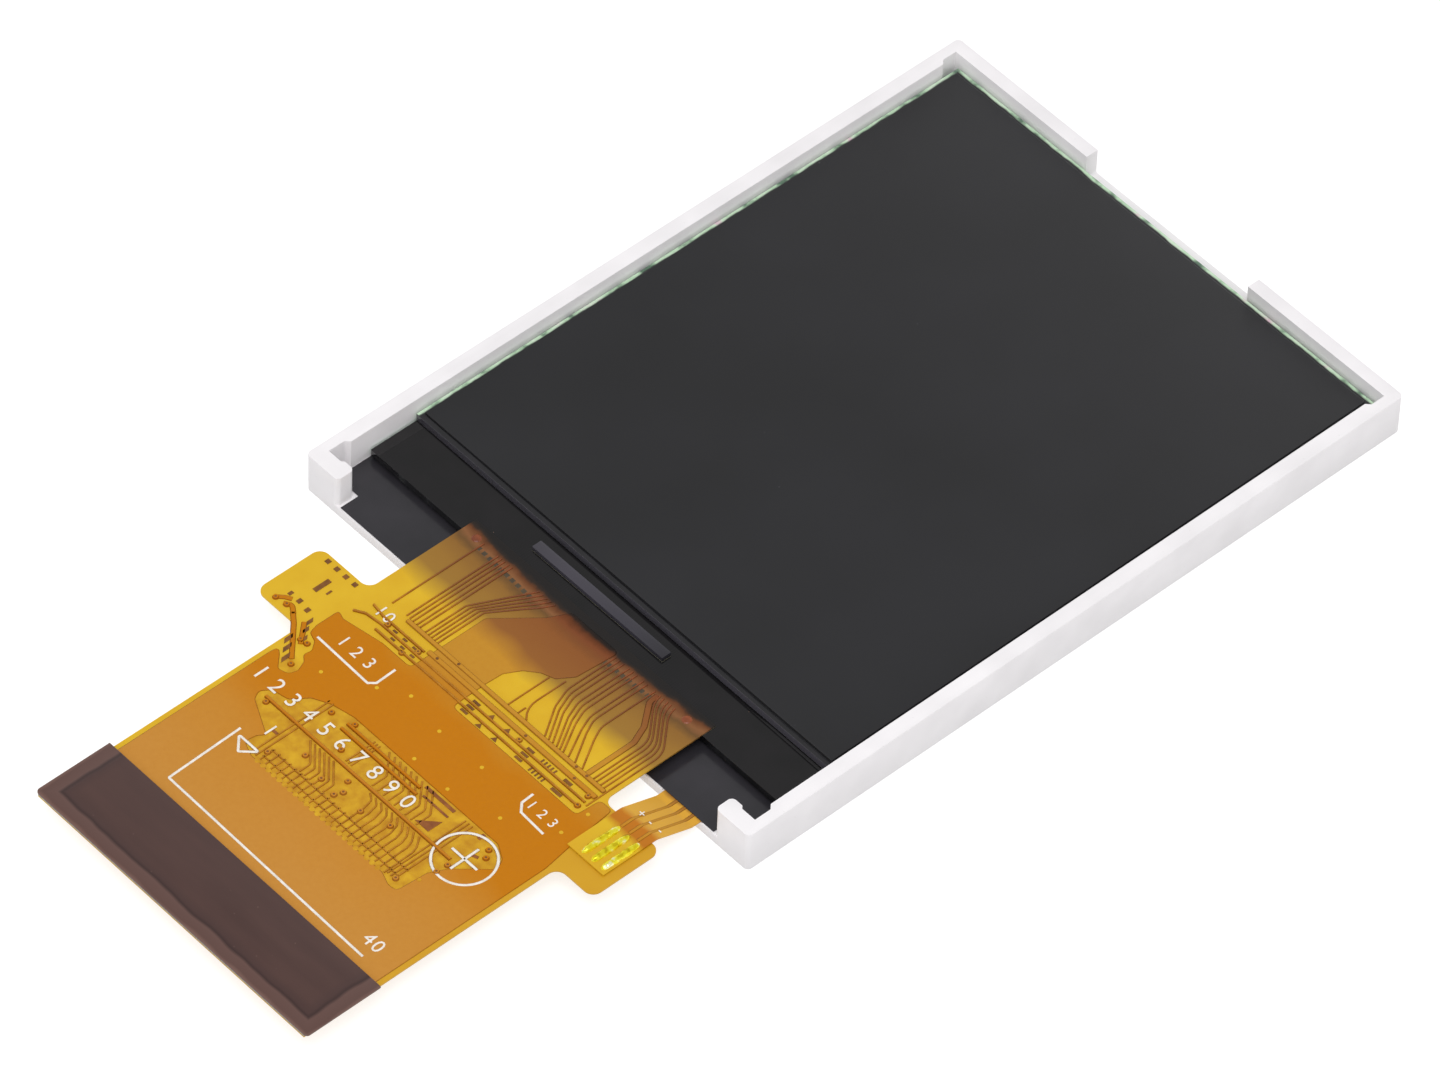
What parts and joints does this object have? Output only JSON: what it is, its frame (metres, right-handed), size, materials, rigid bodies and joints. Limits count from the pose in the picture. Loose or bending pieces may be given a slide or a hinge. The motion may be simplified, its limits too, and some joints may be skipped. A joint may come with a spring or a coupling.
{
  "type": "tft display module",
  "caption": "Bare colour display in a white moulded backlight frame, with a driver chip on the glass and an amber flex circuit that ends in stiffened contacts.",
  "frame": {"origin": "centre of the backlight frame's rear face", "axes": "+X across the display, +Y from the flex circuit towards the frame's far wall, +Z from the rear face towards the viewer"},
  "size_m": [0.034, 0.0703, 0.0026],
  "materials": {
    "frame_white": "satin moulded",
    "reflector_white": "silvery white film",
    "guide_clear": "clear moulded",
    "film_white": "diffusing film",
    "film_clear": "clear film",
    "lamp_case": "white case, yellow phosphor",
    "flex_amber": "amber polyimide",
    "tape_black": "black film tape",
    "polarizer_dark": "anti-glare film",
    "cell_glass": "clear",
    "liquid_crystal": "dark layer",
    "bond_film": "thin adhesive",
    "chip_silicon": "polished die",
    "copper": "copper foil",
    "gold_plate": "gold plated copper",
    "stiffener_brown": "dark brown film",
    "solder": "bright solder"
  },
  "bodies": {
    "root": {"backlight_frame": "frame_white", "reflector_sheet": "reflector_white", "light_guide_plate": "guide_clear", "diffuser_sheet": "film_white", "lower_prism_sheet": "film_clear", "upper_prism_sheet": "film_clear", "led_1": "lamp_case", "led_2": "lamp_case", "backlight_flex": "flex_amber", "light_shield_tape": "tape_black", "rear_polarizer": "polarizer_dark", "front_polarizer": "polarizer_dark", "array_glass": "cell_glass", "colour_filter_glass": "cell_glass", "cell_seal": "bond_film", "liquid_crystal_layer": "liquid_crystal", "chip_bond_film": "bond_film", "flex_bond_film": "bond_film", "driver_chip": "chip_silicon", "bond_leads": "copper", "flex_ground_plane": "copper", "signal_tracks": "copper", "solder_lands": "copper", "contact_fingers": "gold_plate", "flex_base_film": "flex_amber", "flex_top_coverlay": "flex_amber", "flex_bottom_coverlay": "flex_amber", "stiffener_adhesive": "bond_film", "connector_stiffener": "stiffener_brown", "solder_joint_1": "solder", "solder_joint_2": "solder", "solder_joint_3": "solder"}
  },
  "joints": []
}
